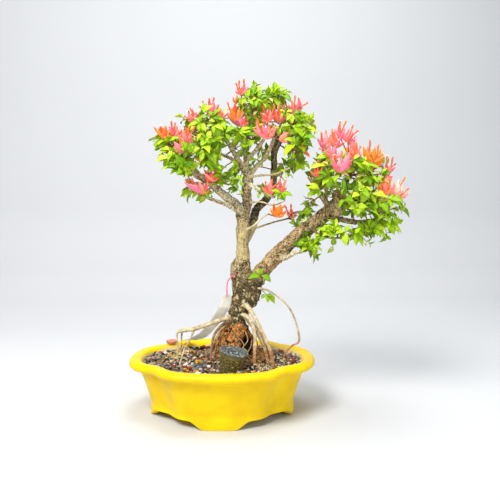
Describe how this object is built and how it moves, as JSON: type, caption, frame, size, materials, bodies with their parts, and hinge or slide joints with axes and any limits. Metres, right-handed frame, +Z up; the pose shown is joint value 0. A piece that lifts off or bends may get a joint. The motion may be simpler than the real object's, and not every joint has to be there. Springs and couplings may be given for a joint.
{
  "type": "bougainvillea bonsai tree in pot",
  "caption": "Small bougainvillea bonsai with a forked trunk, exposed roots, leafy sprays and papery pink and orange blooms, growing in a four-lobed yellow pot.",
  "frame": {"origin": "bottom centre of the bounding box, on the surface that the pot's feet stand on", "axes": "+Z up; +X to the right as seen from the front, towards the leaning trunk's canopy; +Y away from the viewer, within a few degrees of the pot's shorter half"},
  "size_m": [0.3808, 0.2002, 0.4494],
  "materials": {
    "pot_glaze": "smooth satin glaze, saturated yellow",
    "soil": "loose granules, grey, black, brick red, tan and white",
    "bark": "rough tan bark with dark fissures, cream roots",
    "drain_mesh": "black plastic mesh",
    "stone_salmon": "rough, salmon and brick red",
    "stone_pale": "rough, pale tan",
    "bark_strip": "flaky red-brown bark",
    "basket_green": "moulded olive-black plastic",
    "basket_grey": "moulded slate-grey plastic",
    "pellets": "dry pressed pellets",
    "label": "translucent white plastic strip, blank",
    "wire": "pink plastic-coated wire",
    "leaf": "soft leaf, bright yellow-green, slightly glossy",
    "bracts_pink": "papery, pink with paler veins",
    "bracts_coral": "papery, coral",
    "bracts_orange": "papery, orange"
  },
  "bodies": {
    "root": {"pot": "pot_glaze", "soil": "soil", "tree_wood": "bark", "drain_screen_left": "drain_mesh", "drain_screen_right": "drain_mesh", "stone_salmon": "stone_salmon", "stone_pale": "stone_pale", "bark_strip": "bark_strip", "fertiliser_cup": "basket_green", "fertiliser_lid": "basket_grey", "fertiliser_pellets": "pellets", "label": "label", "label_wire": "wire", "bloom_left_tip": "bracts_orange", "bloom_left_front": "bracts_pink", "bloom_left_top": "bracts_pink", "bloom_crown_left": "bracts_pink", "bloom_crown_right": "bracts_coral", "bloom_crown_middle": "bracts_pink", "bloom_left_low": "bracts_coral", "bloom_inner": "bracts_coral", "bloom_orange": "bracts_orange", "bloom_thin_branch": "bracts_pink", "bloom_right_left": "bracts_pink", "bloom_right_top": "bracts_pink", "bloom_right_front": "bracts_pink", "bloom_right_orange": "bracts_orange", "bloom_right_tip": "bracts_coral", "bloom_back_left": "bracts_coral", "bloom_back_crown": "bracts_pink", "bloom_back_right": "bracts_coral", "bloom_back_canopy": "bracts_pink", "leaves_left_tip": "leaf", "leaves_left_top": "leaf", "leaves_left_front": "leaf", "leaves_left_middle": "leaf", "leaves_left_crown": "leaf", "leaves_left_back": "leaf", "leaves_left_back_crown": "leaf", "leaves_left_low": "leaf", "leaves_trunk_left": "leaf", "leaves_crown_top": "leaf", "leaves_crown_front": "leaf", "leaves_crown_back": "leaf", "leaves_crown_right": "leaf", "leaves_crown_right_back": "leaf", "leaves_inner_back": "leaf", "leaves_right_left": "leaf", "leaves_right_middle": "leaf", "leaves_right_front": "leaf", "leaves_right_top": "leaf", "leaves_right_tip": "leaf", "leaves_right_low": "leaf", "leaves_right_back": "leaf", "leaves_right_inner": "leaf", "leaves_under_trunk": "leaf", "leaves_sprout": "leaf"}
  },
  "joints": []
}
